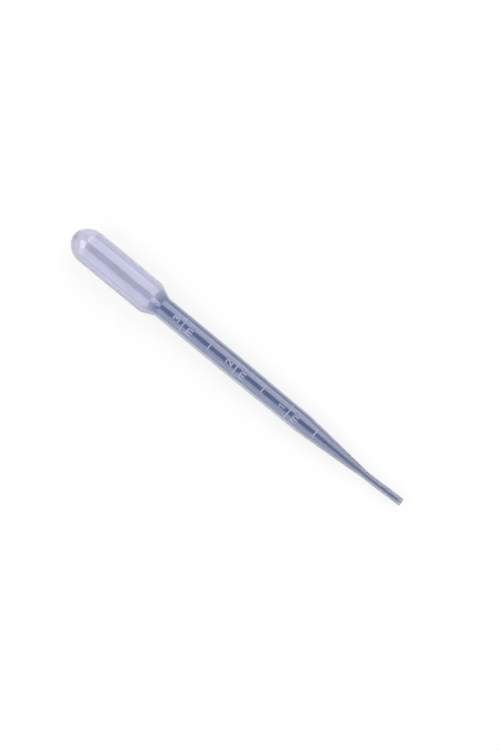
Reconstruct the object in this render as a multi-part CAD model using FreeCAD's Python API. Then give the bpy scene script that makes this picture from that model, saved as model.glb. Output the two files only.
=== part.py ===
import FreeCAD, Part

import math
import os

from FreeCAD import Placement, Rotation, Vector

# A graduated transfer pipette: bulb, barrel and tip blown in one piece from soft polyethylene.
# It is drawn along +X from the closed end of the bulb, with its scale facing +Z, and is then laid
# down as it rests on a bench. Lengths are in millimetres and angles in degrees.

# Lengths of the stretches, from the closed end of the bulb to the mouth of the tip.
DOME_LENGTH = 7.5
BULB_LENGTH = 29.1
SHOULDER_LENGTH = 5.1
BARREL_LENGTH = 34.3
DRAFT_LENGTH = 23.0
LOWER_BARREL_LENGTH = 9.5
TAPER_LENGTH = 29.5
TIP_LENGTH = 17.0

# Outer diameters.
BULB_DIAMETER = 13.0
BARREL_DIAMETER = 8.3
LOWER_BARREL_DIAMETER = 7.88
TIP_DIAMETER = 3.06

# Wall thicknesses. The wall is thinnest where it was blown out furthest.
BULB_WALL = 0.5
BARREL_WALL = 0.58
TIP_WALL = 0.65

# Roundings of the outer profile, where one stretch runs into the next.
SHOULDER_TOP_ROUNDING = 4.4
SHOULDER_FOOT_ROUNDING = 3.7
TAPER_TOP_ROUNDING = 25.0
TAPER_FOOT_ROUNDING = 25.0

# The mouth is cut square, and its outer edge is broken.
MOUTH_CHAMFER = 0.15

# The tip leans to one side: a short elbow stands between its root and its straight end.
TIP_ROOT_LENGTH = 1.3
TIP_BEND_ANGLE = 2.5
TIP_BEND_RADIUS = 60.0

# The raised scale has a line at every half millilitre of the bore. A whole one is long, with a
# figure above it and its unit below it. Up on the scale is towards the bulb. The hooks of the two
# and the three end at the hook angle, counted from the right.
HALF_MILLILITRE = 500.0
FIRST_MARK_FROM_MOUTH = 40.6
RELIEF_HEIGHT = 0.16
RELIEF_ROOT = 0.2
STROKE_WIDTH = 0.45
LONG_LINE_SPAN = 5.4
SHORT_LINE_SPAN = 2.3
FIRST_LINE_SPAN = 3.3
FIGURE_HEIGHT = 2.9
FIGURE_GAP = 1.75
HOOK_ANGLE = 155.0
UNIT_HEIGHT = 2.45
UNIT_ASCENDER = 0.3
UNIT_GAP = 2.2
LEG_PITCH = 1.04
LETTER_SPACE = 1.65

# Places along the axis where each stretch ends.
DOME_END = DOME_LENGTH
BULB_END = DOME_END + BULB_LENGTH
SHOULDER_END = BULB_END + SHOULDER_LENGTH
BARREL_END = SHOULDER_END + BARREL_LENGTH
DRAFT_END = BARREL_END + DRAFT_LENGTH
LOWER_BARREL_END = DRAFT_END + LOWER_BARREL_LENGTH
TAPER_END = LOWER_BARREL_END + TAPER_LENGTH
ELBOW_START = TAPER_END + TIP_ROOT_LENGTH
OVERALL_LENGTH = TAPER_END + TIP_LENGTH

BULB_RADIUS = BULB_DIAMETER / 2
BARREL_RADIUS = BARREL_DIAMETER / 2
LOWER_BARREL_RADIUS = LOWER_BARREL_DIAMETER / 2
TIP_RADIUS = TIP_DIAMETER / 2
TIP_BORE_RADIUS = TIP_RADIUS - TIP_WALL

# A rounding on the inside shares its centre with the one outside, so that the wall keeps its
# thickness round the corner.
SHOULDER_TOP_INSIDE = SHOULDER_TOP_ROUNDING - BULB_WALL
SHOULDER_FOOT_INSIDE = SHOULDER_FOOT_ROUNDING + BARREL_WALL
TAPER_TOP_INSIDE = TAPER_TOP_ROUNDING - BARREL_WALL
TAPER_FOOT_INSIDE = TAPER_FOOT_ROUNDING + TIP_WALL

# The wall's corners past the dome: place, outer radius, wall, rounding outside, rounding inside.
WALL = (
    (DOME_END, BULB_RADIUS, BULB_WALL, 0, 0),
    (BULB_END, BULB_RADIUS, BULB_WALL, SHOULDER_TOP_ROUNDING, SHOULDER_TOP_INSIDE),
    (SHOULDER_END, BARREL_RADIUS, BARREL_WALL, SHOULDER_FOOT_ROUNDING, SHOULDER_FOOT_INSIDE),
    (BARREL_END, BARREL_RADIUS, BARREL_WALL, 0, 0),
    (DRAFT_END, LOWER_BARREL_RADIUS, BARREL_WALL, 0, 0),
    (LOWER_BARREL_END, LOWER_BARREL_RADIUS, BARREL_WALL, TAPER_TOP_ROUNDING, TAPER_TOP_INSIDE),
    (TAPER_END, TIP_RADIUS, TIP_WALL, TAPER_FOOT_ROUNDING, TAPER_FOOT_INSIDE),
    (ELBOW_START, TIP_RADIUS, TIP_WALL, 0, 0),
)

# No rounding takes more than this share of the straight stretch beside it.
ROUNDING_SHARE = 0.49

AXIS = Vector(1, 0, 0)
UP = Vector(0, 0, 1)


def straight(start, end):
    return Part.LineSegment(start, end).toShape()


def arc(centre, radius, first, last):
    """An arc about the centre, from one direction the short way round to another."""
    middle = (first + last).normalize()
    return Part.Arc(*[centre + way * radius for way in (first, middle, last)]).toShape()


def dome(offset):
    """The dome's outline, or a line inside it by offset: an oval of a crown arc and a side arc."""
    diagonal = math.hypot(DOME_LENGTH, BULB_RADIUS)
    excess = DOME_LENGTH - BULB_RADIUS
    crown_radius = diagonal * (diagonal - excess) / (2 * DOME_LENGTH)
    side_radius = diagonal * (diagonal + excess) / (2 * BULB_RADIUS)
    crown_centre = Vector(crown_radius, 0, 0)
    side_centre = Vector(DOME_LENGTH, 0, BULB_RADIUS - side_radius)
    meeting = Vector(-BULB_RADIUS, 0, DOME_LENGTH).normalize()
    return [
        arc(crown_centre, crown_radius - offset, -AXIS, meeting),
        arc(side_centre, side_radius - offset, meeting, UP),
    ]


def rounded_path(points, roundings):
    """Straight edges through the points, with a tangent arc at each corner that has a rounding."""
    edges = []
    start = points[0]
    for before, corner, after, rounding in zip(points, points[1:], points[2:], roundings[1:]):
        back = (before - corner).normalize()
        ahead = (after - corner).normalize()
        half_turn = (math.pi - back.getAngle(ahead)) / 2
        room = ROUNDING_SHARE * min(corner.distanceToPoint(before), corner.distanceToPoint(after))
        reach = min(rounding * math.tan(half_turn), room)
        if reach > 0:
            depth = reach * math.tan(half_turn / 2)
            middle = corner + (back + ahead).normalize() * depth
            edges.append(straight(start, corner + back * reach))
            edges.append(Part.Arc(corner + back * reach, middle, corner + ahead * reach).toShape())
            start = corner + ahead * reach
        else:
            edges.append(straight(start, corner))
            start = corner
    edges.append(straight(start, points[-1]))
    return edges


def revolved(edges):
    """The solid that the closed loop of edges sweeps round the axis."""
    face = Part.Face(Part.Wire(Part.__sortEdges__(edges)))
    return face.revolve(Vector(), AXIS, 360)


def blown_body():
    """The closed bulb, the shoulder, the barrel and the taper, down to where the elbow starts."""
    outer = [Vector(place, 0, radius) for place, radius, _, _, _ in WALL]
    inner = [Vector(place, 0, radius - wall) for place, radius, wall, _, _ in WALL]
    edges = dome(0) + rounded_path(outer, [corner[3] for corner in WALL])
    edges += dome(BULB_WALL) + rounded_path(inner, [corner[4] for corner in WALL])
    edges += [straight(Vector(), Vector(BULB_WALL, 0, 0)), straight(outer[-1], inner[-1])]
    return revolved(edges)


def elbow():
    """The bent ring of wall that turns the tip towards +Y."""
    start = Vector(ELBOW_START, 0, 0)
    rims = [Part.makeCircle(radius, start, AXIS) for radius in (TIP_RADIUS, TIP_BORE_RADIUS)]
    ring = Part.makeFace([Part.Wire(rim) for rim in rims], "Part::FaceMakerBullseye")
    return ring.revolve(start + Vector(0, TIP_BEND_RADIUS, 0), UP, TIP_BEND_ANGLE)


def straight_tip():
    """The tube from the elbow to the mouth."""
    bend = math.radians(TIP_BEND_ANGLE)
    length = OVERALL_LENGTH - ELBOW_START - TIP_BEND_RADIUS * bend
    section = [
        Vector(0, 0, TIP_BORE_RADIUS),
        Vector(0, 0, TIP_RADIUS),
        Vector(length - MOUTH_CHAMFER, 0, TIP_RADIUS),
        Vector(length, 0, TIP_RADIUS - MOUTH_CHAMFER),
        Vector(length, 0, TIP_BORE_RADIUS),
    ]
    tube = revolved([straight(*ends) for ends in zip(section, section[1:] + section[:1])])
    elbow_end = Vector(math.sin(bend), 1 - math.cos(bend), 0) * TIP_BEND_RADIUS
    tube.Placement = Placement(Vector(ELBOW_START, 0, 0) + elbow_end, Rotation(UP, TIP_BEND_ANGLE))
    return tube


def bar(start, end):
    """A straight stroke seen from above, whose square ends reach half its width past its ends."""
    along = (end - start).normalize() * (STROKE_WIDTH / 2)
    aside = Vector(-along.y, along.x, 0)
    head = end + along
    foot = start - along
    corners = [foot + aside, head + aside, head - aside, foot - aside]
    return Part.Face(Part.makePolygon(corners + corners[:1]))


def bow(centre, radius, first_angle, last_angle):
    """A stroke bent round an arc, with its angles counted from the right and less than a turn."""
    rims = []
    for rim in (radius - STROKE_WIDTH / 2, radius + STROKE_WIDTH / 2):
        angles = (first_angle, (first_angle + last_angle) / 2, last_angle)
        points = [centre + Rotation(UP, angle).multVec(AXIS) * rim for angle in angles]
        rims.append(Part.Arc(*points).toShape())
    ends = [straight(rims[0].Vertexes[i].Point, rims[1].Vertexes[i].Point) for i in (0, 1)]
    return Part.Face(Part.Wire([rims[0], ends[1], rims[1], ends[0]]))


def figure_one(height):
    top = Vector(0, height, 0)
    return [bar(Vector(), top), bar(top, top - Vector(1, 1, 0) * (height / 4))]


def figure_two(height):
    """A crown that leans into a straight neck, which is the tangent from the foot."""
    bowl = height / 4
    centre = Vector(0, 3 * bowl, 0)
    foot = Vector(-bowl, 0, 0)
    lean = math.atan2(3, 4)
    crown_end = centre + Vector(math.cos(lean), -math.sin(lean), 0) * bowl
    crown = bow(centre, bowl, HOOK_ANGLE, -math.degrees(lean))
    return [crown, bar(crown_end, foot), bar(foot, Vector(bowl, 0, 0))]


def figure_three(height):
    bowl = height / 4
    waist = Vector(0, 2 * bowl, 0)
    upper = bow(Vector(0, 3 * bowl, 0), bowl, HOOK_ANGLE, -90)
    lower = bow(Vector(0, bowl, 0), bowl, 90, -HOOK_ANGLE)
    return [upper, lower, bar(waist - AXIS * (bowl / 4), waist)]


FIGURES = (figure_one, figure_two, figure_three)


def unit_letters(height):
    """The unit of the scale, a small m and l, centred under its line."""
    bend = LEG_PITCH / 2
    left = -(2 * LEG_PITCH + LETTER_SPACE) / 2
    strokes = [bar(Vector(left, 0, 0), Vector(left, height, 0))]
    for leg in (left, left + LEG_PITCH):
        foot = Vector(leg + LEG_PITCH, 0, 0)
        strokes.append(bow(Vector(leg + bend, height - bend, 0), bend, 180, 0))
        strokes.append(bar(foot, foot + Vector(0, height - bend, 0)))
    strokes.append(bar(Vector(-left, 0, 0), Vector(-left, height + UNIT_ASCENDER, 0)))
    return strokes


def scale_line(span):
    return bar(Vector(-span / 2, 0, 0), Vector(span / 2, 0, 0))


def raised(strokes, foot):
    """Faces moved up the scale by foot, so that their lowest edge stands there."""
    for stroke in strokes:
        stroke.translate(Vector(0, foot + STROKE_WIDTH / 2, 0))
    return strokes


def mark(number):
    """The strokes of one mark as flat faces, with the middle of its line at the origin."""
    if number % 2:
        return [scale_line(FIRST_LINE_SPAN if number == 1 else SHORT_LINE_SPAN)]
    strokes = [scale_line(LONG_LINE_SPAN)]
    strokes += raised(FIGURES[number // 2 - 1](FIGURE_HEIGHT - STROKE_WIDTH), FIGURE_GAP)
    strokes += raised(unit_letters(UNIT_HEIGHT - STROKE_WIDTH), -UNIT_GAP - UNIT_HEIGHT)
    return strokes


def mark_places():
    """Where the marks stand, from the tip towards the bulb, as far as there is room for them."""
    pitch = HALF_MILLILITRE / (math.pi * (BARREL_RADIUS - BARREL_WALL) ** 2)
    first = OVERALL_LENGTH - FIRST_MARK_FROM_MOUTH
    places = [first - step * pitch for step in range(2 * len(FIGURES))]
    return [place for place in places if place - FIGURE_GAP - FIGURE_HEIGHT > SHOULDER_END]


def skin():
    """The layer that the scale is raised in, from a root in the wall to the top of the relief."""
    corners = [row[:2] for row in WALL if SHOULDER_END <= row[0] <= TAPER_END]
    top = [Vector(place, 0, radius + RELIEF_HEIGHT) for place, radius in corners]
    root = [Vector(place, 0, radius - RELIEF_ROOT) for place, radius in reversed(corners)]
    loop = top + root
    return revolved([straight(*ends) for ends in zip(loop, loop[1:] + loop[:1])])


def scale_relief():
    """Every stroke of the scale, standing out of the barrel."""
    prisms = []
    for number, place in enumerate(mark_places(), start=1):
        for stroke in mark(number):
            stroke.Placement = Placement(Vector(place, 0, 0), Rotation(UP, 90)) * stroke.Placement
            prisms.append(stroke.extrude(UP * BARREL_DIAMETER))
    return prisms[0].multiFuse(prisms[1:]).common(skin())


def laid_down(shape):
    """The pipette as it rests, on the bulb and the lower end of the barrel, about its middle."""
    drop = BULB_RADIUS - LOWER_BARREL_RADIUS
    tilt = math.degrees(math.atan2(drop, LOWER_BARREL_END - BULB_END))
    shape.rotate(Vector(), Vector(0, 1, 0), tilt)
    box = shape.optimalBoundingBox()
    shape.translate(Vector(-box.Center.x, 0, -box.ZMin))
    return shape


def pipette():
    plain = blown_body().multiFuse([elbow(), straight_tip()]).removeSplitter()
    return laid_down(plain.fuse(scale_relief()))


if __name__ == "__main__":
    os.makedirs("parts", exist_ok=True)
    pipette().exportStep("parts/pipette.step")
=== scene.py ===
"""A graduated transfer pipette of soft polyethylene, lying on a pale bench."""

import math
from itertools import accumulate

import bpy
from mathutils import Matrix, Vector


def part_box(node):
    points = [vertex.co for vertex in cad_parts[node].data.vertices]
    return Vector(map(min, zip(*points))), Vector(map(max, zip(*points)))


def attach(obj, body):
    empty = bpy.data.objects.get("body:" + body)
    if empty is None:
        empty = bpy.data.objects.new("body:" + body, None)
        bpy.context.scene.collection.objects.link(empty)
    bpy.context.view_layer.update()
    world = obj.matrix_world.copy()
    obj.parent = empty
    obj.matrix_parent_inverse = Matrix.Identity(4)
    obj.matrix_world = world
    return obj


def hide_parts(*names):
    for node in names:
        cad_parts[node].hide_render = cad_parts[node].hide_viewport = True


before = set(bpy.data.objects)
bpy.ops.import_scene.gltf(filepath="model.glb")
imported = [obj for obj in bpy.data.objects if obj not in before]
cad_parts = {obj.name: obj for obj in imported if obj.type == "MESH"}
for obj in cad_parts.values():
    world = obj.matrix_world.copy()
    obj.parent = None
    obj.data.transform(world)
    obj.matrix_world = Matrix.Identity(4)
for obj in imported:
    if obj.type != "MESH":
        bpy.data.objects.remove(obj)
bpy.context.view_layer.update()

bl_info = {
    "name": "Transfer pipette",
    "version": (1, 0, 0),
    "blender": (4, 5, 0),
    "location": "View3D > Sidebar > Pipette",
    "description": "Builds a one-piece plastic transfer pipette and the bench that it lies on",
    "category": "Add Mesh",
}

MM = 0.001
CAD_NODE = "pipette"
BODY = "root"

HALF_MILLILITRE = 500 * MM**3

# The wall's columns stand closer together at the front, under the strokes.
COLUMNS = 144
FRONT_CROWDING = 0.7

# Its rows follow the section's own points, and no two stand further apart than this.
PLAIN_ROW_STEP = 4 * MM
TIP_ROWS = 28
ROUNDING_STEPS = 14
DOME_STEPS = 14
ARC_STEP = math.radians(12)
CLOSING_DISTANCE = 1e-6

# A stroke's rounded flank stands a quarter outside its width. Fine rows reach a margin past it.
FLANK_OUTSIDE = 0.25
STROKE_MARGIN = 0.3 * MM
STROKE_SIDE = 0.1
RAISED_ENOUGH = 0.3
WHOLE_NUMBER_SLACK = 0.1

# Where the colours of the wall change: across the pipette as shares of its radius, and up the
# bore as a length. Along both sides the outer face carries painted shade, deeper on the left than
# on the right, and a band of painted shade runs down the right side of the barrel; near the sides
# the inner face carries painted light, whose edge is blurred. Where the taper is drawn down by a
# share within the last band, its roughness turns into the tip's.
PAINTED_LIGHT_BLUR = 0.04
MOUTH_BLUR = 0.4 * MM
RIGHT_SHADE_BAND = (0.5, 0.85)
SIDE_SHADE_BAND = (0.2, 0.5)
SIDE_SHADE_DEPTHS = (0.85, 0.45)
DRAWN_BAND = (0.1, 0.7)

# The haze: slow clouds drawn out along the pipette, with a little fine grain in their height.
CLOUD_STRETCH = (0.35, 1, 1)
CLOUD_DETAIL = 3.0
GRAIN_DETAIL = 2.0
GRAIN_SHARE = 0.15
CLOUD_SPAN = (0.35, 0.65)
TONE_SPAN = (0.97, 1.03)
ROUGHNESS_SPAN = (0.85, 1.15)

WHITE = (1, 1, 1, 1)
BENCH_ROUGHNESS = 0.9
BENCH_GLOSS = 0.1
ROOM_FALLOFF = 2


def length(name, millimetres, description):
    """A size in metres, for a property group."""
    return bpy.props.FloatProperty(
        name=name,
        description=description,
        default=millimetres * MM,
        min=0.0,
        precision=5,
        subtype="DISTANCE",
        unit="LENGTH",
    )


def angle(name, degrees, description):
    """An angle, for a property group."""
    return bpy.props.FloatProperty(
        name=name,
        description=description,
        default=math.radians(degrees),
        subtype="ANGLE",
        unit="ROTATION",
    )


def colour(name, default, description):
    """A colour, for a property group."""
    return bpy.props.FloatVectorProperty(
        name=name,
        description=description,
        default=default,
        size=3,
        min=0.0,
        max=1.0,
        subtype="COLOR",
    )


def share(name, default, description):
    """A number from nothing to one, for a property group."""
    return bpy.props.FloatProperty(
        name=name,
        description=description,
        default=default,
        min=0.0,
        max=1.0,
        subtype="FACTOR",
    )


def amount(name, default, description):
    """A plain number from nothing up, for a property group."""
    return bpy.props.FloatProperty(
        name=name, description=description, default=default, min=0.0
    )


class PIPETTE_PG_body(bpy.types.PropertyGroup):
    """Sizes of the blown wall, from the closed end of the bulb to the mouth of the tip."""

    dome: length("Dome", 7.5, "Length of the bulb's rounded end")
    bulb: length("Bulb", 29.1, "Length of the straight part of the bulb")
    shoulder: length("Shoulder", 5.1, "Length of the step from bulb to barrel")
    barrel: length("Barrel", 34.3, "Length of the straight upper barrel")
    draft: length("Draft", 23.0, "Length over which the barrel narrows a little")
    lower_barrel: length("Lower barrel", 9.5, "Length of the straight lower barrel")
    taper: length("Taper", 29.5, "Length of the drawn-down cone")
    tip: length("Tip", 17.0, "Length of the narrow tip")
    bulb_diameter: length("Bulb diameter", 13.0, "Outer diameter of the bulb")
    barrel_diameter: length("Barrel diameter", 8.3, "Outer diameter of the upper barrel")
    lower_diameter: length("Lower diameter", 7.88, "Outer diameter of the lower barrel")
    tip_diameter: length("Tip diameter", 3.06, "Outer diameter of the tip")
    bulb_wall: length("Bulb wall", 0.5, "Thickness of the wall in the bulb")
    barrel_wall: length("Barrel wall", 0.58, "Thickness of the wall in the barrel")
    tip_wall: length("Tip wall", 0.65, "Thickness of the wall in the tip")
    shoulder_top: length("Shoulder top", 4.4, "Rounding where the bulb turns in")
    shoulder_foot: length("Shoulder foot", 3.7, "Rounding where the barrel begins")
    taper_rounding: length("Taper rounding", 25.0, "Rounding at both ends of the cone")
    mouth_rounding: length("Mouth rounding", 0.15, "Rounding of the mouth's outer edge")
    mouth_inside: length("Mouth inside", 0.085, "Rounding of the mouth's inner edge")
    tip_root: length("Tip root", 1.3, "Straight length before the tip bends")
    bend_radius: length("Bend radius", 60.0, "Radius of the bend in the tip")
    bend_angle: angle("Bend angle", 2.5, "How far the tip leans to one side")


class PIPETTE_PG_scale(bpy.types.PropertyGroup):
    """Sizes of the raised scale. A long line has a figure above it and its unit below."""

    first: length("First line", 40.6, "Distance of the first line from the mouth")
    relief: length("Relief", 0.16, "Height of the strokes over the wall")
    stroke: length("Stroke", 0.45, "Width of a stroke")
    softness: length("Softness", 0.16, "Width of a stroke's rounded flank")
    long_line: length("Long line", 5.4, "Span of a whole millilitre's line")
    short_line: length("Short line", 2.3, "Span of a half millilitre's line")
    first_line: length("Lowest line", 3.3, "Span of the lowest line")
    figure_height: length("Figure height", 2.9, "Height of a figure")
    figure_gap: length("Figure gap", 1.75, "From a line up to the figure's foot")
    hook: angle("Hook angle", 155.0, "Where the hooks of the figures end")
    unit_height: length("Unit height", 2.45, "Height of the unit's small letters")
    ascender: length("Ascender", 0.3, "How far the tall letter stands over them")
    unit_gap: length("Unit gap", 2.2, "From a line down to the top of its unit")
    leg_pitch: length("Leg pitch", 1.04, "From one leg of the wide letter to the next")
    letter_space: length("Letter space", 1.65, "Space between the two letters")
    row_step: length("Row step", 0.1, "Spacing of the wall's rows under the strokes")


class PIPETTE_PG_plastic(bpy.types.PropertyGroup):
    """The look of the soft polyethylene."""

    body: colour("Plastic", (0.72, 0.715, 0.755), "Colour of the wall's outer face")
    bore: colour("Bore", (0.06, 0.135, 0.42), "Colour of the wall's inner face in the barrel")
    blown: colour("Bulb", (0.76, 0.76, 0.90), "Colour of the inner face where it is blown thin")
    blown_face: colour("Bulb face", (0.84, 0.83, 0.92), "Colour of the outer face there")
    # These two colours are painted shade: a darker tint along both sides of the lying pipette and
    # down the right side of the barrel, first on the barrel, then on the bulb.
    shaded: colour("Edge", (0.38, 0.42, 0.56), "Colour of the painted shade along the barrel's sides")
    bulb_edge_shade: colour("Bulb edge", (0.44, 0.42, 0.60), "The same on the bulb")
    drawn: colour("Tip", (0.11, 0.165, 0.38), "Colour of the inner face where it is drawn down")
    drawn_face: colour("Tip face", (0.60, 0.61, 0.71), "Colour of the outer face there")
    marks: colour("Strokes", (0.80, 0.80, 0.93), "Colour of the thicker raised strokes")
    clearness: share("Clearness", 0.93, "Share of the light that passes through the wall")
    stroke_clearness: share("Stroke clearness", 0.7, "The same in the raised strokes")
    mouth: length("Mouth", 1.6, "How far up the bore is pale from the cut end")
    # Painted light: the inner face turns pale in a band along each side, much wider on the left.
    painted_light_left: share("Painted light left", 0.17, "How far in from the left edge the inner face is pale")
    painted_light_right: share("Painted light right", 0.02, "How far in from the right edge it is pale")
    roughness: share("Roughness", 0.10, "How blurred the gloss is")
    drawn_roughness: share("Tip roughness", 0.42, "The same at the tip")
    coat: share("Skin", 1.0, "Strength of the smooth moulded skin's own gloss")
    blown_coat: share("Bulb skin", 0.1, "The same on the bulb")
    refraction: amount("Refraction", 1.51, "Index of refraction")
    clouds: amount("Clouds", 220.0, "Scale of the slow variation in the wall")
    grain: amount("Grain", 2600.0, "Scale of the fine grain on its surface")
    unevenness: length("Unevenness", 0.1, "Height of the haze on the surface")
    unevenness_share: share("Unevenness share", 0.04, "How strongly that height shows")


class PIPETTE_PG_stage(bpy.types.PropertyGroup):
    """The bench, the lamps and the camera."""

    floor: colour("Bench", (0.84, 0.84, 0.84), "Colour of the pale bench")
    floor_size: length("Bench size", 3000.0, "Side of the square bench")
    lens: length("Lens", 100.0, "Focal length of the camera")
    distance: length("Camera distance", 762.0, "From the camera to the pipette")
    aim_right: length("Aim right", 4.70, "How far right of the pipette's middle the camera looks")
    aim_down: length("Aim down", 2.18, "How far below its middle the camera looks")
    slant: angle("Slant", 39.6, "How far the pipette runs downwards in the view")
    reach: length("Lamp distance", 450.0, "From a softbox to the pipette")
    side_length: length("Side length", 640.0, "Size of the side softboxes along the pipette")
    right_height: angle("Right height", 40.0, "Height of the right softbox over the bench")
    right_width: length("Right width", 520.0, "Size of the right softbox across the pipette")
    right_light: amount("Right light", 1.65, "Brightness of the right softbox")
    left_height: angle("Left height", 37.0, "Height of the left softbox over the bench")
    left_width: length("Left width", 490.0, "Size of the left softbox across the pipette")
    left_light: amount("Left light", 1.1, "Brightness of the left softbox")
    bulb_height: angle("Bulb end height", 46.0, "Height of the softbox past the bulb")
    bulb_turn: angle("Bulb end turn", 17.0, "How far it stands round to the left")
    bulb_width: length("Bulb end width", 290.0, "Its size across the pipette")
    tip_height: angle("Tip end height", 38.0, "Height of the softbox past the tip")
    tip_width: length("Tip end width", 250.0, "Its size across the pipette")
    end_depth: length("End depth", 240.0, "Size of the end softboxes upwards")
    bulb_light: amount("Bulb end light", 3.0, "Brightness of the softbox past the bulb")
    tip_light: amount("Tip end light", 1.6, "Brightness of the softbox past the tip")
    zenith: amount("Ambient above", 0.15, "Brightness of the room straight above")
    horizon: amount("Ambient around", 0.7, "Brightness of the room at bench height")
    evenness: share("Bench evenness", 0.75, "How far the bench is white of itself")


class Builder:
    """Adds nodes to one tree, and joins or sets their inputs."""

    def __init__(self, tree):
        self.tree = tree

    def add(self, kind, inputs=None, **settings):
        count = len(self.tree.nodes)
        node = self.tree.nodes.new(kind)
        node.location = (count % 9 * 220, -(count // 9) * 320)
        for name, value in settings.items():
            setattr(node, name, value)
        for key, value in (inputs or {}).items():
            self.join(value, node.inputs[key])
        return node

    def join(self, value, socket):
        """Links a node or a socket to the socket, or sets a plain value on it."""
        if isinstance(value, bpy.types.Node):
            value = next(output for output in value.outputs if output.enabled)
        if isinstance(value, bpy.types.NodeSocket):
            self.tree.links.new(value, socket)
        elif value is not None:
            socket.default_value = value

    def math(self, operation, *values):
        return self.add("ShaderNodeMath", dict(enumerate(values)), operation=operation)

    def vector(self, x, y, z):
        return self.add("ShaderNodeCombineXYZ", {0: x, 1: y, 2: z})

    def attribute(self, name):
        return self.add("GeometryNodeInputNamedAttribute", {"Name": name})

    def blend(self, factor, first, second):
        """A colour between two, which are plain colours or sockets."""
        mix = self.add("ShaderNodeMix", data_type="RGBA")
        sockets = {socket.identifier: socket for socket in (*mix.inputs, *mix.outputs)}
        self.join(factor, sockets["Factor_Float"])
        for name, value in (("A_Color", first), ("B_Color", second)):
            plain = not isinstance(value, bpy.types.NodeSocket)
            self.join((*value, 1) if plain else value, sockets[name])
        return sockets["Result_Color"]

    def remap(self, value, low, high, to_low, to_high, curve="LINEAR"):
        ends = {0: value, 1: low, 2: high, 3: to_low, 4: to_high}
        return self.add("ShaderNodeMapRange", ends, interpolation_type=curve)


def new_tree(name, inputs, outputs=(("Geometry", "NodeSocketGeometry"),)):
    """An empty geometry tree with the named sockets, as (builder, input node, output node)."""
    tree = bpy.data.node_groups.new(name, "GeometryNodeTree")
    for title, kind in inputs:
        tree.interface.new_socket(title, in_out="INPUT", socket_type=kind)
    for title, kind in outputs:
        tree.interface.new_socket(title, in_out="OUTPUT", socket_type=kind)
    nodes = Builder(tree)
    return nodes, nodes.add("NodeGroupInput"), nodes.add("NodeGroupOutput")


def arc_points(centre, radius, first, last):
    """Points from one direction to another round a centre, in a flat plane."""
    count = max(2, round(abs(last - first) / ARC_STEP))
    turns = [first + (last - first) * step / count for step in range(count + 1)]
    return [
        (centre[0] + radius * math.cos(turn), centre[1] + radius * math.sin(turn))
        for turn in turns
    ]


def figure_one(height):
    return [[(-height / 4, height * 3 / 4), (0, height), (0, 0)]]


def figure_two(height, hook):
    """A crown that leans into a straight neck, which is the tangent from the foot."""
    bowl = height / 4
    lean = math.atan2(3, 4)
    crown = arc_points((0, 3 * bowl), bowl, hook, -lean)
    return [crown + [(-bowl, 0), (bowl, 0)]]


def figure_three(height, hook):
    """Two bowls that meet at the waist."""
    bowl = height / 4
    quarter = math.pi / 2
    upper = arc_points((0, 3 * bowl), bowl, hook, -quarter)
    lower = arc_points((0, bowl), bowl, quarter, -hook)
    return [upper + lower[1:]]


def unit_letters(size, height):
    """The unit of the scale, a small m and l, centred under its line."""
    bend = size.leg_pitch / 2
    left = -size.leg_pitch - size.letter_space / 2
    strokes = [[(left, 0), (left, height)]]
    for leg in (left, left + size.leg_pitch):
        hump = arc_points((leg + bend, height - bend), bend, math.pi, 0)
        strokes.append(hump + [(leg + size.leg_pitch, 0)])
    strokes.append([(-left, 0), (-left, height + size.ascender)])
    return strokes


def scale_line(span):
    return [[(-span / 2, 0), (span / 2, 0)]]


def raised(strokes, foot):
    """The strokes moved up the scale."""
    return [[(across, up + foot) for across, up in stroke] for stroke in strokes]


def whole_mark(size, figure):
    """The strokes of a whole millilitre: a long line, its figure and its unit."""
    half = size.stroke / 2
    unit = unit_letters(size, size.unit_height - size.stroke)
    marks = scale_line(size.long_line) + raised(figure, size.figure_gap + half)
    return marks + raised(unit, half - size.unit_gap - size.unit_height)


MARK_NAMES = ("Lowest line", "Short line", "Mark one", "Mark two", "Mark three")
MARK_COUNT = 6


def mark_shapes(size):
    """Every kind of mark on the scale, as lists of strokes in the order of their names."""
    height = size.figure_height - size.stroke
    return (
        scale_line(size.first_line),
        scale_line(size.short_line),
        whole_mark(size, figure_one(height)),
        whole_mark(size, figure_two(height, size.hook)),
        whole_mark(size, figure_three(height, size.hook)),
    )


def stroke_object(name, strokes):
    """An object of bare edges along the strokes."""
    points, edges = [], []
    for stroke in strokes:
        first = len(points)
        points += [(across, up, 0) for across, up in stroke]
        edges += [(first + i, first + i + 1) for i in range(len(stroke) - 1)]
    mesh = bpy.data.meshes.new(name)
    mesh.from_pydata(points, edges, [])
    return bpy.data.objects.new(name, mesh)


def stretch_ends(body):
    """Where each stretch ends, from the bulb's pole to the mouth, along the unbent axis."""
    upper = (body.dome, body.bulb, body.shoulder, body.barrel)
    return list(accumulate((*upper, body.draft, body.lower_barrel, body.taper, body.tip)))


def elbow_place(body):
    return stretch_ends(body)[-2] + body.tip_root


def scale_pitch(body):
    """The distance between lines, which is half a millilitre of the barrel's bore."""
    bore_radius = body.barrel_diameter / 2 - body.barrel_wall
    return HALF_MILLILITRE / (math.pi * bore_radius**2)


def dome_line(body, offset):
    """The dome's outline from its pole, or a line inside it by offset.

    It is an oval of a crown arc and a side arc."""
    radius = body.bulb_diameter / 2
    diagonal = math.hypot(body.dome, radius)
    excess = body.dome - radius
    crown_radius = diagonal * (diagonal - excess) / (2 * body.dome)
    side_radius = diagonal * (diagonal + excess) / (2 * radius)
    meeting = math.atan2(body.dome, -radius)
    crown = ((crown_radius, 0), crown_radius - offset, math.pi, meeting)
    side = ((body.dome, radius - side_radius), side_radius - offset, meeting, math.pi / 2)
    points = []
    for centre, reach, first, last in (crown, side):
        for step in range(DOME_STEPS):
            turn = first + (last - first) * step / DOME_STEPS
            place = centre[0] + reach * math.cos(turn)
            points.append((place, max(0, centre[1] + reach * math.sin(turn))))
    return points


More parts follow.
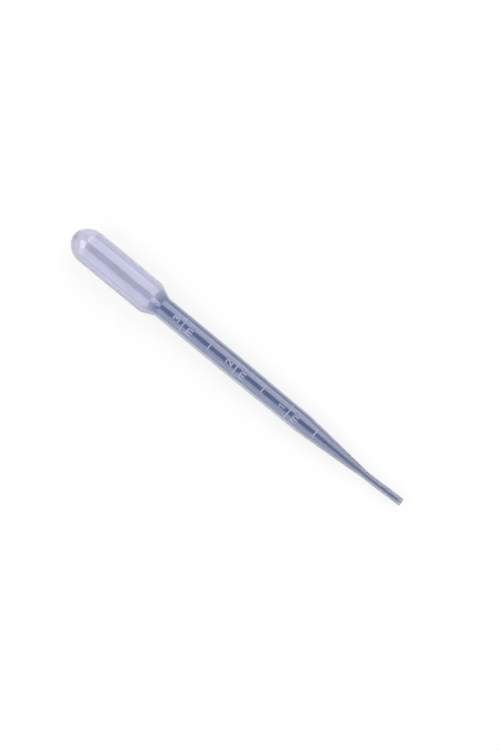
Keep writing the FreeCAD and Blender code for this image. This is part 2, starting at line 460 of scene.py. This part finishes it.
def section_corners(body):
    """The wall's corners past the dome: place, outer radius, wall, and the roundings.

    The rounding inside shares its centre with the one outside, except at the cut mouth."""
    bulb_radius = body.bulb_diameter / 2
    barrel_radius = body.barrel_diameter / 2
    lower_radius = body.lower_diameter / 2
    tip_radius = body.tip_diameter / 2
    bulb_wall, barrel_wall, tip_wall = body.bulb_wall, body.barrel_wall, body.tip_wall
    top, foot, bend = body.shoulder_top, body.shoulder_foot, body.taper_rounding
    dome, bulb, shoulder, barrel, draft, lower, taper, mouth = stretch_ends(body)
    return (
        (dome, bulb_radius, bulb_wall, 0, 0),
        (bulb, bulb_radius, bulb_wall, top, top - bulb_wall),
        (shoulder, barrel_radius, barrel_wall, foot, foot + barrel_wall),
        (barrel, barrel_radius, barrel_wall, 0, 0),
        (draft, lower_radius, barrel_wall, 0, 0),
        (lower, lower_radius, barrel_wall, bend, bend - barrel_wall),
        (taper, tip_radius, tip_wall, bend, bend + tip_wall),
        (elbow_place(body), tip_radius, tip_wall, 0, 0),
        (mouth, tip_radius, tip_wall, body.mouth_rounding, body.mouth_inside),
    )


def mark_zones(body, size):
    """The stretches of the barrel that carry strokes, as (start, end)."""
    first = stretch_ends(body)[-1] - size.first
    margin = STROKE_MARGIN + size.stroke / 2
    zones = []
    for step in range(MARK_COUNT):
        place = first - step * scale_pitch(body)
        above = below = margin
        if step % 2:
            above += size.figure_gap + size.figure_height
            below += size.unit_gap + size.unit_height
        zones.append((place - above, place + below))
    return zones


def section_object(body, size):
    """The wall's section as bare edges: down the outside, round the mouth and back inside.

    Each point carries the rounding at its corner, the spacing of rows after it, and a mark
    of one on the outside."""
    corners = section_corners(body)
    zones = mark_zones(body, size)

    def radius_at(place):
        for (start, first, *_), (end, last, *_) in zip(corners, corners[1:]):
            if start <= place <= end:
                return first + (last - first) * (place - start) / (end - start)

    def row_step(middle, on_outside):
        if on_outside and any(start < middle < end for start, end in zones):
            return size.row_step
        return body.tip / TIP_ROWS if middle > elbow_place(body) else PLAIN_ROW_STEP

    outside = [(place, radius, 0) for place, radius in dome_line(body, 0)]
    outside += [(place, radius, rounding) for place, radius, _, rounding, _ in corners]
    outside += [(place, radius_at(place), 0) for zone in zones for place in zone]
    outside.sort()
    inside = [(place, radius, 0) for place, radius in dome_line(body, body.bulb_wall)]
    inside += [(place, radius - wall, inner) for place, radius, wall, _, inner in corners]
    inside.reverse()
    rows = outside + inside
    values = {"rounding": [], "row_step": [], "outside": []}
    for index, ((place, _, rounding), after) in enumerate(zip(rows, (*rows[1:], rows[-1]))):
        on_outside = index < len(outside)
        values["rounding"].append(rounding)
        values["row_step"].append(row_step((place + after[0]) / 2, on_outside))
        values["outside"].append(on_outside)

    mesh = bpy.data.meshes.new("Section")
    points = [(place, 0, radius) for place, radius, _ in rows]
    mesh.from_pydata(points, [(i, i + 1) for i in range(len(rows) - 1)], [])
    for name, column in values.items():
        attribute = mesh.attributes.new(name, "FLOAT", "POINT")
        attribute.data.foreach_set("value", column)
    return bpy.data.objects.new("Section", mesh)


def scale_tree():
    """A tree that sets the marks out along the barrel, as flat strokes of bare edges.

    The lowest mark is of its own kind, every second one after it is a short line, and between
    them stand the whole millilitres in turn."""
    sockets = [
        ("First place", "NodeSocketFloat"),
        ("Pitch", "NodeSocketFloat"),
        ("Count", "NodeSocketInt"),
    ]
    sockets += [(name, "NodeSocketObject") for name in MARK_NAMES]
    nodes, inputs, outputs = new_tree("Scale strokes", sockets)
    given = inputs.outputs
    away = nodes.math("MULTIPLY", given["Pitch"], -1)
    line = nodes.add(
        "GeometryNodeMeshLine",
        {
            "Count": given["Count"],
            "Start Location": nodes.vector(given["First place"], 0, 0),
            "Offset": nodes.vector(away, 0, 0),
        },
    )
    index = nodes.add("GeometryNodeInputIndex")
    odd = nodes.math("MODULO", index, 2)
    plain = nodes.math("MINIMUM", index, 1)
    whole = nodes.math("MULTIPLY_ADD", index, 0.5, 1.5)
    style = nodes.math("MULTIPLY_ADD", odd, nodes.math("SUBTRACT", whole, plain), plain)
    laid = nodes.add("GeometryNodeJoinGeometry")
    for kind, name in enumerate(MARK_NAMES):
        shape = nodes.add("GeometryNodeObjectInfo", {"Object": given[name]})
        placed = nodes.add(
            "GeometryNodeInstanceOnPoints",
            {
                "Points": line,
                "Selection": nodes.math("COMPARE", style, kind, WHOLE_NUMBER_SLACK),
                "Instance": shape.outputs["Geometry"],
                "Rotation": (0, 0, math.pi / 2),
            },
        )
        nodes.join(placed, laid.inputs[0])
    nodes.join(nodes.add("GeometryNodeRealizeInstances", {0: laid}), outputs.inputs[0])
    return nodes.tree


def bend_tree():
    """A tree that leans everything past the elbow over to one side, round an arc."""
    sockets = [
        ("Geometry", "NodeSocketGeometry"),
        ("Elbow place", "NodeSocketFloat"),
        ("Bend angle", "NodeSocketFloat"),
        ("Bend radius", "NodeSocketFloat"),
    ]
    nodes, inputs, outputs = new_tree("Bent tip", sockets)
    elbow, turn, radius = (inputs.outputs[name] for name, _ in sockets[1:])
    place = nodes.add("ShaderNodeSeparateXYZ", {0: nodes.add("GeometryNodeInputPosition")})
    x, y, z = place.outputs
    past = nodes.math("MAXIMUM", nodes.math("SUBTRACT", x, elbow), 0)
    bent = nodes.math("MINIMUM", nodes.math("DIVIDE", past, radius), turn)
    rest = nodes.math("SUBTRACT", past, nodes.math("MULTIPLY", bent, radius))
    reach = nodes.math("SUBTRACT", radius, y)
    sine = nodes.math("SINE", bent)
    cosine = nodes.math("COSINE", bent)
    along = nodes.math("MULTIPLY_ADD", reach, sine, nodes.math("MINIMUM", x, elbow))
    along = nodes.math("MULTIPLY_ADD", rest, cosine, along)
    across = nodes.math("SUBTRACT", radius, nodes.math("MULTIPLY", reach, cosine))
    across = nodes.math("MULTIPLY_ADD", rest, sine, across)
    moved = {"Geometry": inputs.outputs["Geometry"], "Position": nodes.vector(along, across, z)}
    nodes.join(nodes.add("GeometryNodeSetPosition", moved), outputs.inputs[0])
    return nodes.tree


def section_rows(nodes, section):
    """The section as a curve, with its corners rounded and its long steps cut into rows."""
    line = nodes.add("GeometryNodeMeshToCurve", {"Mesh": section})
    line = nodes.add(
        "GeometryNodeFilletCurve",
        {
            "Curve": line,
            "Radius": nodes.attribute("rounding"),
            "Limit Radius": True,
            "Count": ROUNDING_STEPS,
        },
        mode="POLY",
    )
    position = nodes.add("GeometryNodeInputPosition")
    after = nodes.math("ADD", nodes.add("GeometryNodeInputIndex"), 1)
    ahead = nodes.add(
        "GeometryNodeFieldAtIndex",
        {"Value": position, "Index": after},
        data_type="FLOAT_VECTOR",
    )
    gap = nodes.add("ShaderNodeVectorMath", {0: position, 1: ahead}, operation="DISTANCE")
    cuts = nodes.math("DIVIDE", gap.outputs["Value"], nodes.attribute("row_step"))
    return nodes.add("GeometryNodeSubdivideCurve", {"Curve": line, "Cuts": cuts})


def turned_grid(nodes, line, columns, crowding):
    """A grid of the line's rows and the columns round the axis, with its points' places.

    Returns the grid, each point's place on the section, its mark of the outside, and the sine
    and cosine of its turn from the front."""
    rows = nodes.add("GeometryNodeAttributeDomainSize", {0: line}, component="CURVE")
    around = nodes.math("ADD", columns, 1)
    grid = nodes.add(
        "GeometryNodeMeshGrid",
        {"Vertices X": rows.outputs["Point Count"], "Vertices Y": around},
    )
    index = nodes.add("GeometryNodeInputIndex")
    row = nodes.math("FLOOR", nodes.math("DIVIDE", nodes.math("ADD", index, 0.5), around))
    column = nodes.math("SUBTRACT", index, nodes.math("MULTIPLY", row, around))
    even_turn = nodes.math("MULTIPLY", nodes.math("DIVIDE", column, columns), math.tau)
    even_turn = nodes.math("SUBTRACT", even_turn, math.pi)
    crowd = nodes.math("MULTIPLY", nodes.math("SINE", even_turn), crowding)
    turn = nodes.math("SUBTRACT", even_turn, crowd)
    point = nodes.add(
        "GeometryNodeSampleIndex",
        {"Geometry": line, "Value": nodes.add("GeometryNodeInputPosition"), "Index": row},
        data_type="FLOAT_VECTOR",
    )
    outside = nodes.add(
        "GeometryNodeSampleIndex",
        {"Geometry": line, "Value": nodes.attribute("outside"), "Index": row},
    )
    place = nodes.add("ShaderNodeSeparateXYZ", {0: point}).outputs
    sine, cosine = nodes.math("SINE", turn), nodes.math("COSINE", turn)
    return grid.outputs["Mesh"], place, outside, sine, cosine


def stroke_height(nodes, given, place, outside, sine, cosine):
    """How far each point is raised by a stroke, from nothing to one."""
    across = nodes.math("MULTIPLY", place["Z"], sine)
    nearest = nodes.add(
        "GeometryNodeProximity",
        {
            "Geometry": given["Strokes"],
            "Sample Position": nodes.vector(place["X"], across, 0),
        },
        target_element="EDGES",
    )
    half = nodes.math("MULTIPLY", given["Stroke width"], 0.5)
    flank = nodes.math("MULTIPLY", given["Softness"], FLANK_OUTSIDE)
    foot = nodes.math("ADD", half, flank)
    top = nodes.math("SUBTRACT", foot, given["Softness"])
    height = nodes.remap(nearest.outputs["Distance"], top, foot, 1, 0, "SMOOTHSTEP")
    front = nodes.math("GREATER_THAN", cosine, STROKE_SIDE)
    return nodes.math("MULTIPLY", nodes.math("MULTIPLY", height, front), outside)


def colour_masks(nodes, given, place, outside, sine, cosine):
    """Where the wall's colours lie, as named masks from nothing to one."""
    barrel, bulb = given["Barrel radius"], given["Bulb radius"]
    near_pole = nodes.math("LESS_THAN", place["X"], bulb)
    blown = nodes.remap(place["Z"], barrel, bulb, 0, 1)
    blown = nodes.math("MAXIMUM", blown, near_pole)

    narrow = nodes.remap(place["Z"], barrel, given["Tip bore radius"], 0, 1)
    drawn_outside = nodes.math("MULTIPLY", narrow, outside)
    drawn = nodes.math("MAXIMUM", nodes.math("MULTIPLY", narrow, narrow), drawn_outside)

    # Painted shade: the outer face darkens towards both sides of the lying pipette, deeper on the
    # left.
    fullness = nodes.remap(nodes.math("DIVIDE", place["Z"], bulb), 0, 1, 0, 1)
    fullness = nodes.math("MAXIMUM", fullness, nodes.math("SUBTRACT", 1, near_pole))
    from_side = nodes.math("MULTIPLY", nodes.math("ABSOLUTE", cosine), fullness)
    depth = nodes.remap(sine, -1, 1, *SIDE_SHADE_DEPTHS)
    side_shade = nodes.remap(from_side, *SIDE_SHADE_BAND, depth, 0, "SMOOTHSTEP")
    # Painted shade: a darker band down the right side of the barrel, left off the bulb.
    right = nodes.remap(sine, *RIGHT_SHADE_BAND, 0, 1, "SMOOTHSTEP")
    right = nodes.math("MULTIPLY", right, nodes.math("SUBTRACT", 1, blown))
    shaded = nodes.math("MAXIMUM", side_shade, right)

    # Painted light: a pale band on the inner face along each side, wider on the left.
    pale = []
    for side, name in ((-1, "Painted light left"), (1, "Painted light right")):
        edge = nodes.math("SUBTRACT", 1, given[name])
        within = nodes.math("SUBTRACT", edge, PAINTED_LIGHT_BLUR)
        outward = nodes.math("MULTIPLY", sine, side)
        pale.append(nodes.remap(outward, within, edge, 0, 1, "SMOOTHSTEP"))
    mouth = given["Mouth start"]
    past_mouth = nodes.math("ADD", mouth, MOUTH_BLUR)
    up_bore = nodes.remap(place["X"], mouth, past_mouth, 1, 0, "SMOOTHSTEP")
    deep = nodes.math("SUBTRACT", 1, nodes.math("MAXIMUM", *pale))
    deep = nodes.math("MULTIPLY", deep, up_bore)
    inside = nodes.math("MULTIPLY", nodes.math("SUBTRACT", 1, outside), deep)
    return {"blown": blown, "drawn": drawn, "shaded": shaded, "inside": inside}


WALL_SIZES = (
    "Stroke width",
    "Softness",
    "Relief",
    "Front crowding",
    "Barrel radius",
    "Bulb radius",
    "Tip bore radius",
    "Mouth start",
    "Painted light left",
    "Painted light right",
)


def wall_tree():
    """A tree that turns the section into a closed wall, with the strokes raised in its outside."""
    sockets = [
        ("Section", "NodeSocketGeometry"),
        ("Strokes", "NodeSocketGeometry"),
        ("Columns", "NodeSocketInt"),
    ]
    sockets += [(name, "NodeSocketFloat") for name in WALL_SIZES]
    nodes, inputs, outputs = new_tree("Turned wall", sockets)
    given = inputs.outputs
    line = section_rows(nodes, given["Section"])
    grid, *where = turned_grid(nodes, line, given["Columns"], given["Front crowding"])
    place, _, sine, cosine = where
    height = stroke_height(nodes, given, *where)
    radius = nodes.math("MULTIPLY_ADD", height, given["Relief"], place["Z"])
    marked = grid
    for name, value in {"relief": height, **colour_masks(nodes, given, *where)}.items():
        marked = nodes.add(
            "GeometryNodeStoreNamedAttribute",
            {"Geometry": marked, "Name": name, "Value": value},
        )
    sideways = nodes.math("MULTIPLY", radius, sine)
    forwards = nodes.math("MULTIPLY", radius, cosine)
    turned = nodes.add(
        "GeometryNodeSetPosition",
        {"Geometry": marked, "Position": nodes.vector(place["X"], sideways, forwards)},
    )
    closed = nodes.add(
        "GeometryNodeMergeByDistance", {"Geometry": turned, "Distance": CLOSING_DISTANCE}
    )
    smooth = nodes.add("GeometryNodeSetShadeSmooth", {"Geometry": closed, "Shade Smooth": True})
    nodes.join(smooth, outputs.inputs[0])
    return nodes.tree


def socket_list(tree, skipped):
    """The (name, kind) of a tree's inputs, less the skipped ones."""
    items = [item for item in tree.interface.items_tree if item.in_out == "INPUT"]
    return [(item.name, item.socket_type) for item in items if item.name not in skipped]


def pipette_tree():
    """The whole pipette: its scale, its turned wall, its bent tip, and its tilt at rest."""
    scale, wall, bend = scale_tree(), wall_tree(), bend_tree()
    sockets = [("Section", "NodeSocketGeometry")]
    sockets += socket_list(scale, ())
    sockets += socket_list(wall, ("Section", "Strokes"))
    sockets += socket_list(bend, ("Geometry",))
    sockets += [
        ("Tilt", "NodeSocketFloat"),
        ("Plastic", "NodeSocketMaterial"),
        ("Stroke plastic", "NodeSocketMaterial"),
    ]
    nodes, inputs, outputs = new_tree("Pipette", sockets)

    def fed(tree, skipped):
        return {name: inputs.outputs[name] for name, _ in socket_list(tree, skipped)}

    def group(tree, values):
        return nodes.add("GeometryNodeGroup", values, node_tree=tree)

    strokes = group(scale, fed(scale, ()))
    turned = group(wall, fed(wall, ("Strokes",)) | {"Strokes": strokes})
    bent = group(bend, fed(bend, ("Geometry",)) | {"Geometry": turned})
    lean = nodes.vector(0, inputs.outputs["Tilt"], 0)
    laid = nodes.add("GeometryNodeTransform", {"Geometry": bent, "Rotation": lean})
    whole = nodes.add("GeometryNodeRealizeInstances", {0: laid})
    dressed = nodes.add(
        "GeometryNodeSetMaterial", {"Geometry": whole, "Material": inputs.outputs["Plastic"]}
    )
    raised_faces = nodes.math("GREATER_THAN", nodes.attribute("relief"), RAISED_ENOUGH)
    dressed = nodes.add(
        "GeometryNodeSetMaterial",
        {
            "Geometry": dressed,
            "Selection": raised_faces,
            "Material": inputs.outputs["Stroke plastic"],
        },
    )
    nodes.join(dressed, outputs.inputs[0])
    return nodes.tree


def evaluated_mesh(thing, tree, values):
    """The plain mesh that the tree makes of an object, with the tree's inputs set by name."""
    bpy.context.scene.collection.objects.link(thing)
    modifier = thing.modifiers.new(tree.name, "NODES")
    modifier.node_group = tree
    for item in tree.interface.items_tree:
        if item.in_out == "INPUT" and item.name in values:
            modifier[item.identifier] = values[item.name]
    bpy.context.view_layer.update()
    graph = bpy.context.evaluated_depsgraph_get()
    mesh = bpy.data.meshes.new_from_object(thing.evaluated_get(graph), depsgraph=graph)
    thing.modifiers.clear()
    bpy.data.objects.remove(thing)
    return mesh


def laid_on_bench(mesh):
    """Moves the mesh so that it stands on the bench, about the middle of its length."""
    places = [vertex.co for vertex in mesh.vertices]
    low = Vector([min(place[axis] for place in places) for axis in range(3)])
    high = Vector([max(place[axis] for place in places) for axis in range(3)])
    mesh.transform(Matrix.Translation((-(low.x + high.x) / 2, 0, -low.z)))


def rest_tilt(body):
    """How far the pipette leans when it lies on its bulb and on the foot of its barrel."""
    drop = (body.bulb_diameter - body.lower_diameter) / 2
    run = body.shoulder + body.barrel + body.draft + body.lower_barrel
    return math.atan2(drop, run)


def new_material(name):
    """A material of one Principled shader, as (material, builder, shader)."""
    material = bpy.data.materials.new(name)
    material.use_nodes = True
    nodes = Builder(material.node_tree)
    return material, nodes, material.node_tree.nodes["Principled BSDF"]


def haze_group():
    """A shader group: slow variation over a moulded surface as a mask, and with grain a height."""
    tree = bpy.data.node_groups.new("Moulded haze", "ShaderNodeTree")
    tree.interface.new_socket("Position", in_out="INPUT", socket_type="NodeSocketVector")
    for name in ("Cloud scale", "Grain scale"):
        tree.interface.new_socket(name, in_out="INPUT", socket_type="NodeSocketFloat")
    for name in ("Cloud", "Height"):
        tree.interface.new_socket(name, in_out="OUTPUT", socket_type="NodeSocketFloat")
    nodes = Builder(tree)
    given = nodes.add("NodeGroupInput").outputs
    outputs = nodes.add("NodeGroupOutput")
    stretch = nodes.add(
        "ShaderNodeMapping", {"Vector": given["Position"], "Scale": CLOUD_STRETCH}
    )
    cloud = nodes.add(
        "ShaderNodeTexNoise",
        {"Vector": stretch, "Scale": given["Cloud scale"], "Detail": CLOUD_DETAIL},
    ).outputs["Fac"]
    grain = nodes.add(
        "ShaderNodeTexNoise",
        {"Vector": given["Position"], "Scale": given["Grain scale"], "Detail": GRAIN_DETAIL},
    ).outputs["Fac"]
    nodes.join(cloud, outputs.inputs["Cloud"])
    nodes.join(nodes.math("MULTIPLY_ADD", grain, GRAIN_SHARE, cloud), outputs.inputs["Height"])
    return tree


def polyethylene(name, haze_tree, look, clearness, face, drawn_face):
    """Milky blown polyethylene. Its inner face has a deeper colour, and less so in the bulb."""
    material, nodes, shader = new_material(name)
    where = nodes.add("ShaderNodeTexCoord")
    haze = nodes.add(
        "ShaderNodeGroup",
        {
            "Position": where.outputs["Object"],
            "Cloud scale": look.clouds,
            "Grain scale": look.grain,
        },
        node_tree=haze_tree,
    )
    cloud = haze.outputs["Cloud"]
    blown, drawn, shaded, inside = (
        nodes.add("ShaderNodeAttribute", attribute_name=mask).outputs["Fac"]
        for mask in ("blown", "drawn", "shaded", "inside")
    )
    deep = nodes.blend(blown, look.bore, look.blown)
    deep = nodes.blend(drawn, deep, look.drawn)
    # The edge colour is painted shade, laid over the outer face along the sides and down the right
    # of the barrel.
    edge = nodes.blend(blown, look.shaded, look.bulb_edge_shade)
    pale = nodes.blend(blown, nodes.blend(drawn, face, drawn_face), look.blown_face)
    pale = nodes.blend(shaded, pale, edge)
    tone = nodes.blend(inside, pale, deep)
    bright = nodes.remap(cloud, *CLOUD_SPAN, *TONE_SPAN)
    shade = nodes.add("ShaderNodeVectorMath", {0: tone, "Scale": bright}, operation="SCALE")
    nodes.join(shade.outputs["Vector"], shader.inputs["Base Color"])
    rough = nodes.remap(drawn, *DRAWN_BAND, look.roughness, look.drawn_roughness)
    patchy = nodes.remap(cloud, *CLOUD_SPAN, *ROUGHNESS_SPAN)
    nodes.join(nodes.math("MULTIPLY", rough, patchy), shader.inputs["Roughness"])
    bump = nodes.add(
        "ShaderNodeBump",
        {
            "Height": haze.outputs["Height"],
            "Strength": look.unevenness_share,
            "Distance": look.unevenness,
        },
    )
    nodes.join(bump.outputs["Normal"], shader.inputs["Normal"])
    coat = nodes.remap(blown, 0, 1, look.coat, look.blown_coat)
    nodes.join(coat, shader.inputs["Coat Weight"])
    shader.inputs["Coat Roughness"].default_value = look.roughness
    shader.inputs["IOR"].default_value = look.refraction
    shader.inputs["Transmission Weight"].default_value = clearness
    return material


def pale_bench(look):
    """The plain matt bench. Seen by the camera or through the wall it is nearly white, and keeps
    a softened shadow."""
    material, nodes, shader = new_material("Pale bench")
    shader.inputs["Base Color"].default_value = (*look.floor, 1)
    shader.inputs["Roughness"].default_value = BENCH_ROUGHNESS
    shader.inputs["Specular IOR Level"].default_value = BENCH_GLOSS
    white = nodes.add("ShaderNodeEmission", {"Color": WHITE, "Strength": 1.0})
    paths = nodes.add("ShaderNodeLightPath").outputs
    seen = nodes.math("MAXIMUM", paths["Is Camera Ray"], paths["Is Transmission Ray"])
    seen = nodes.math("MULTIPLY", seen, look.evenness)
    mixed = nodes.add("ShaderNodeMixShader", {0: seen, 1: shader, 2: white})
    nodes.join(mixed, nodes.tree.nodes["Material Output"].inputs["Surface"])
    return material


def studio(look):
    """The room's light: dim straight above, brighter all round, and white to the camera."""
    world = bpy.data.worlds.new("Studio")
    world.use_nodes = True
    nodes = Builder(world.node_tree)
    room = world.node_tree.nodes["Background"]
    where = nodes.add("ShaderNodeTexCoord")
    upward = nodes.add("ShaderNodeSeparateXYZ", {0: where.outputs["Generated"]}).outputs["Z"]
    height = nodes.math("POWER", nodes.math("MAXIMUM", upward, 0), ROOM_FALLOFF)
    strength = nodes.remap(height, 0, 1, look.horizon, look.zenith)
    nodes.join(WHITE, room.inputs["Color"])
    nodes.join(strength, room.inputs["Strength"])
    white = nodes.add("ShaderNodeBackground", {"Color": WHITE, "Strength": 1.0})
    camera = nodes.add("ShaderNodeLightPath").outputs["Is Camera Ray"]
    mixed = nodes.add("ShaderNodeMixShader", {0: camera, 1: room, 2: white})
    nodes.join(mixed, world.node_tree.nodes["World Output"].inputs["Surface"])
    return world


class PIPETTE_OT_pipette(bpy.types.Operator):
    """Builds the pipette as one closed wall with its scale raised in it"""

    bl_idname = "pipette.add_pipette"
    bl_label = "Pipette"

    def execute(self, context):
        scene = context.scene
        body, size = scene.pipette_body, scene.pipette_scale
        look, haze = scene.pipette_plastic, haze_group()
        mouth = stretch_ends(body)[-1]
        shapes = {
            name: stroke_object(name, strokes)
            for name, strokes in zip(MARK_NAMES, mark_shapes(size))
        }
        values = shapes | {
            "First place": mouth - size.first,
            "Pitch": scale_pitch(body),
            "Count": MARK_COUNT,
            "Columns": COLUMNS,
            "Front crowding": FRONT_CROWDING,
            "Stroke width": size.stroke,
            "Softness": size.softness,
            "Relief": size.relief,
            "Barrel radius": body.barrel_diameter / 2,
            "Bulb radius": body.bulb_diameter / 2,
            "Tip bore radius": body.tip_diameter / 2 - body.tip_wall,
            "Mouth start": mouth - look.mouth,
            "Painted light left": look.painted_light_left,
            "Painted light right": look.painted_light_right,
            "Elbow place": elbow_place(body),
            "Bend angle": body.bend_angle,
            "Bend radius": body.bend_radius,
            "Tilt": rest_tilt(body),
            "Plastic": polyethylene(
                "Milky polyethylene", haze, look, look.clearness, look.body, look.drawn_face
            ),
            "Stroke plastic": polyethylene(
                "Raised polyethylene", haze, look, look.stroke_clearness, look.marks, look.marks
            ),
        }
        mesh = evaluated_mesh(section_object(body, size), pipette_tree(), values)
        for shape in shapes.values():
            bpy.data.objects.remove(shape)
        laid_on_bench(mesh)
        piece = bpy.data.objects.new("blown_pipette", mesh)
        scene.collection.objects.link(piece)
        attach(piece, BODY)
        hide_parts(CAD_NODE)
        return {"FINISHED"}


def add_bench(look):
    """The square of bench that the pipette lies on."""
    half = look.floor_size / 2
    corners = [(-half, -half, 0), (half, -half, 0), (half, half, 0), (-half, half, 0)]
    mesh = bpy.data.meshes.new("bench")
    mesh.from_pydata(corners, [], [(0, 1, 2, 3)])
    mesh.materials.append(pale_bench(look))
    bench = bpy.data.objects.new("bench", mesh)
    bpy.context.scene.collection.objects.link(bench)


def add_softbox(name, place, radiance, long, wide):
    """A rectangular lamp that faces the middle of the bench, with its long side level."""
    lamp = bpy.data.lights.new(name, "AREA")
    lamp.shape = "RECTANGLE"
    lamp.size = long
    lamp.size_y = wide
    lamp.energy = radiance * math.pi * long * wide
    thing = bpy.data.objects.new(name, lamp)
    back = place.normalized()
    along = Vector((-back.y, back.x, 0)).normalized()
    turn = Matrix((along, back.cross(along), back)).transposed().to_4x4()
    thing.matrix_world = Matrix.Translation(place) @ turn
    bpy.context.scene.collection.objects.link(thing)


def add_lamps(look):
    """A softbox along each side of the pipette, and one past each end."""
    quarter = math.pi / 2
    long, deep = look.side_length, look.end_depth
    past_bulb = math.pi + look.bulb_turn
    lamps = {
        "right": (quarter, look.right_height, look.right_light, long, look.right_width),
        "left": (-quarter, look.left_height, look.left_light, long, look.left_width),
        "tip": (0, look.tip_height, look.tip_light, look.tip_width, deep),
        "bulb": (past_bulb, look.bulb_height, look.bulb_light, look.bulb_width, deep),
    }
    for name, (turn, height, light, long_side, wide_side) in lamps.items():
        level = math.cos(height) * look.reach
        rise = math.sin(height) * look.reach
        place = Vector((level * math.cos(turn), level * math.sin(turn), rise))
        add_softbox("Softbox " + name, place, light, long_side, wide_side)


def add_camera(look, tilt):
    """A camera that looks squarely down on the pipette, which runs slanting in its view."""
    low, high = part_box(CAD_NODE)
    along = Vector((math.cos(tilt), 0, -math.sin(tilt)))
    across = Vector((0, 1, 0))
    above = along.cross(across)
    right = along * math.cos(look.slant) + across * math.sin(look.slant)
    up = across * math.cos(look.slant) - along * math.sin(look.slant)
    middle = Vector((0, 0, (low.z + high.z) / 2))
    aim = middle + right * look.aim_right - up * look.aim_down
    camera = bpy.data.cameras.new("Camera")
    camera.lens = look.lens / MM
    viewer = bpy.data.objects.new("Camera", camera)
    turn = Matrix((right, up, above)).transposed().to_4x4()
    viewer.matrix_world = Matrix.Translation(aim + above * look.distance) @ turn
    bpy.context.scene.collection.objects.link(viewer)
    bpy.context.scene.camera = viewer


class PIPETTE_OT_stage(bpy.types.Operator):
    """Sets out the bench, the softboxes and the camera"""

    bl_idname = "pipette.add_stage"
    bl_label = "Bench, lamps and camera"

    def execute(self, context):
        scene = context.scene
        look = scene.pipette_stage
        add_bench(look)
        add_lamps(look)
        add_camera(look, rest_tilt(scene.pipette_body))
        scene.world = studio(look)
        scene.view_settings.view_transform = "Standard"
        return {"FINISHED"}


OPERATORS = (PIPETTE_OT_pipette, PIPETTE_OT_stage)
SETTINGS = {
    "pipette_body": PIPETTE_PG_body,
    "pipette_scale": PIPETTE_PG_scale,
    "pipette_plastic": PIPETTE_PG_plastic,
    "pipette_stage": PIPETTE_PG_stage,
}


class PIPETTE_PT_panel(bpy.types.Panel):
    """Lists the pipette's pieces and sizes"""

    bl_label = "Transfer pipette"
    bl_space_type = "VIEW_3D"
    bl_region_type = "UI"
    bl_category = "Pipette"

    def draw(self, context):
        for operator in OPERATORS:
            self.layout.operator(operator.bl_idname)
        for name, group in SETTINGS.items():
            box = self.layout.box()
            for setting in group.__annotations__:
                box.prop(getattr(context.scene, name), setting)


CLASSES = (*SETTINGS.values(), *OPERATORS, PIPETTE_PT_panel)


def register():
    for each in CLASSES:
        bpy.utils.register_class(each)
    for name, group in SETTINGS.items():
        setattr(bpy.types.Scene, name, bpy.props.PointerProperty(type=group))


def unregister():
    for name in SETTINGS:
        delattr(bpy.types.Scene, name)
    for each in reversed(CLASSES):
        bpy.utils.unregister_class(each)


def main():
    register()
    bpy.ops.pipette.add_pipette()
    bpy.ops.pipette.add_stage()


if __name__ == "__main__":
    main()
